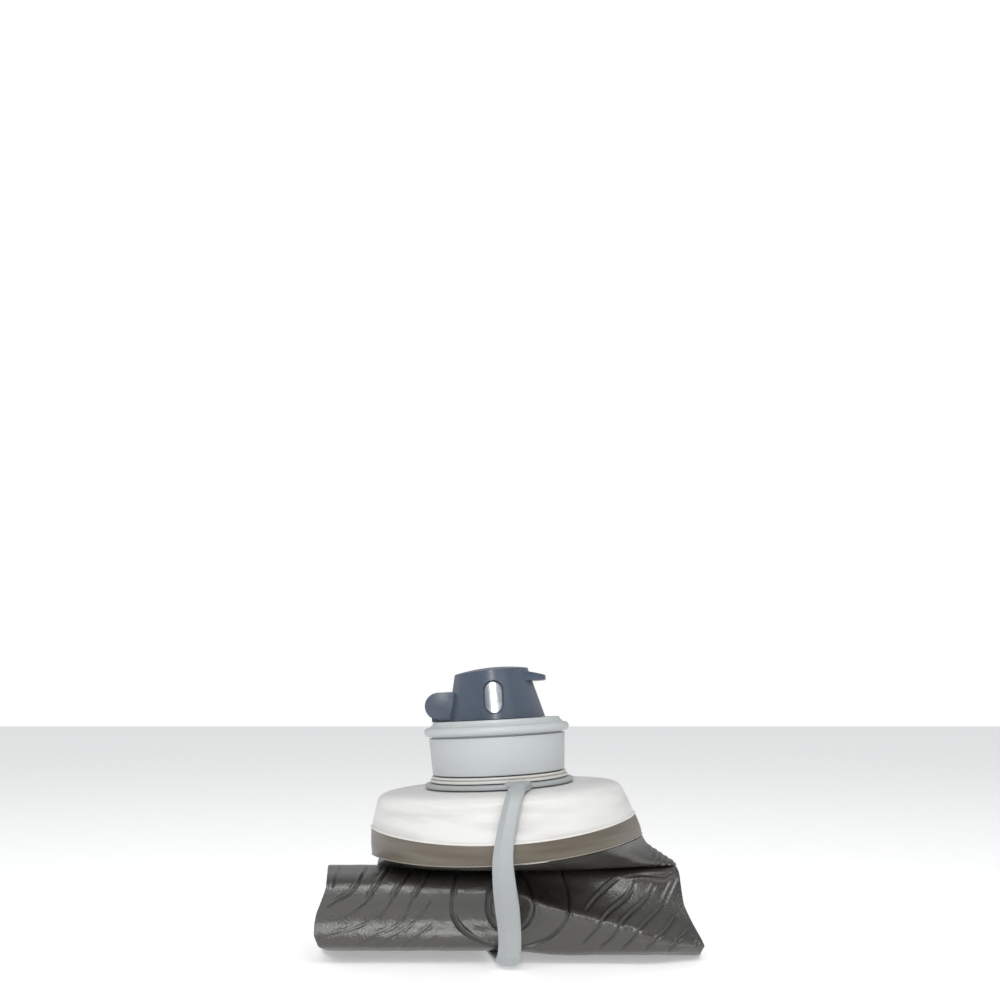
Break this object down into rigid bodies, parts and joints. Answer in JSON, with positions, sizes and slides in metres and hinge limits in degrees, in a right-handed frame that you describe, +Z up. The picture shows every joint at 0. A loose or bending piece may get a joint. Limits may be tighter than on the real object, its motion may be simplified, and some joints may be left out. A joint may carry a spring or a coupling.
{
  "type": "folding water bottle",
  "caption": "Collapsible soft water bottle, rolled up under its frosted shoulder and held by a bail strap, with a threaded neck, screw cap and hinged flip lid over a drinking spout.",
  "frame": {"origin": "on the ground under the neck, at the middle of the bail strap's underside", "axes": "+X to the right along the rolled film, away from the lid's hinge; -Y to the front; +Z up"},
  "size_m": [0.1397, 0.0927, 0.1013],
  "materials": {
    "cap_grey": "light blue-grey moulded plastic, satin",
    "lid_slate": "slate blue-grey moulded plastic, satin",
    "silicone": "white silicone, matte",
    "pin_steel": "ground steel",
    "badge_bright": "polished",
    "neck_clear": "translucent grey-beige, satin",
    "shoulder_frost": "frosted translucent white, fine matte",
    "band_taupe": "translucent taupe, satin",
    "film_grey": "dark grey film, satin with a fine grain and embossed grooves",
    "base_grey": "dark grey film, satin",
    "bail_grey": "soft light grey, matte"
  },
  "bodies": {
    "bottle": {"neck_finish": "neck_clear", "shoulder": "shoulder_frost", "weld_band": "band_taupe", "film_front": "film_grey", "film_back": "film_grey"},
    "cap_rise": {"cap_gasket": "silicone"},
    "cap": {"cap_shell": "cap_grey", "spout_base": "lid_slate", "spout_seal": "silicone"},
    "lid": {"flip_lid": "lid_slate", "lid_plug": "silicone", "hinge_pin": "pin_steel", "lid_badge": "badge_bright"},
    "roll": {"film_roll": "film_grey", "base_panel": "base_grey"},
    "ring": {"bail_ring": "bail_grey"},
    "bail": {"bail_strap": "bail_grey"}
  },
  "joints": [
    {"name": "cap_lift", "type": "slide", "parent": "bottle", "child": "cap_rise", "axis": [-0.0523, 0, 0.9986], "range_m": [0, 0.0161]},
    {"name": "cap_turn", "type": "hinge", "parent": "cap_rise", "child": "cap", "pos_m": [-0.00025, 0, 0.0604], "axis": [-0.0523, 0, 0.9986], "range_deg": [0, 1440]},
    {"name": "lid_flip", "type": "hinge", "parent": "cap", "child": "lid", "pos_m": [-0.02168, 0, 0.08712], "axis": [0, -1, 0], "range_deg": [0, 150]},
    {"name": "body_unroll", "type": "slide", "parent": "bottle", "child": "roll", "axis": [0, 0, -1], "range_m": [0, 0.19], "deforming": ["film_front", "film_back"]},
    {"name": "ring_swivel", "type": "hinge", "parent": "bottle", "child": "ring", "pos_m": [-0.00025, 0, 0.0604], "axis": [-0.0523, 0, 0.9986], "range_deg": [-8, 8]},
    {"name": "bail_swing", "type": "hinge", "parent": "ring", "child": "bail", "pos_m": [-0.00025, 0, 0.06035], "axis": [0.292, -0.9563, 0.0153], "range_deg": [0, 180], "deforming": ["bail_strap"]}
  ],
  "couplings": [
    {"joint": "cap_lift", "follows": "cap_turn", "m_per_rad": 0.00063662},
    {"joint": "bail_swing", "follows": "body_unroll", "rad_per_m": 16.5}
  ]
}
